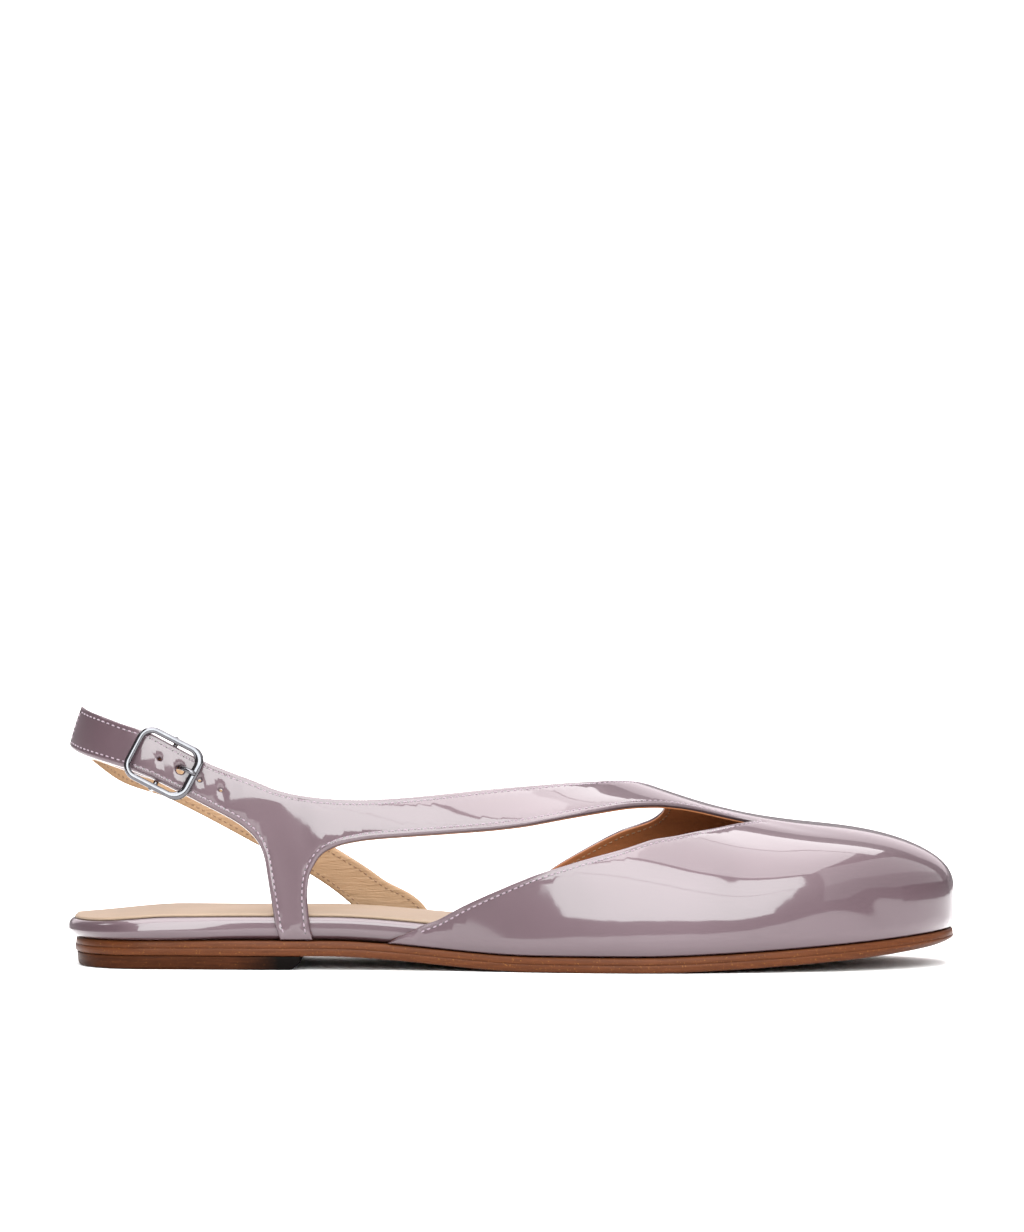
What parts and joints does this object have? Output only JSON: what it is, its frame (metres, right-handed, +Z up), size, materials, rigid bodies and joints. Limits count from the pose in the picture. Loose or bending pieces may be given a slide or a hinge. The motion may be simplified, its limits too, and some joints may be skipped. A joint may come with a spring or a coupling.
{
  "type": "slingback sandal",
  "caption": "Flat patent slingback sandal with a closed round toe, one instep strap, a buckled heel sling, leather sole and low heel.",
  "frame": {"origin": "on the floor under the middle of the shoe's length and width", "axes": "+X to the toe, +Y to the inner side of the foot, +Z up"},
  "size_m": [0.25, 0.081, 0.0728],
  "materials": {
    "patent": "lilac patent leather, lacquered",
    "lining": "tan vegetable tanned leather, matt",
    "sole_leather": "brown sole leather, waxed edge",
    "heel_leather": "dark stacked leather, polished",
    "buckle_metal": "polished nickel plate"
  },
  "bodies": {
    "root": {"heel_lift": "heel_leather", "outsole": "sole_leather", "footbed": "patent", "sock": "lining", "upper": "patent", "back_strap": "patent", "buckle_frame": "buckle_metal", "buckle_prong": "buckle_metal"}
  },
  "joints": []
}
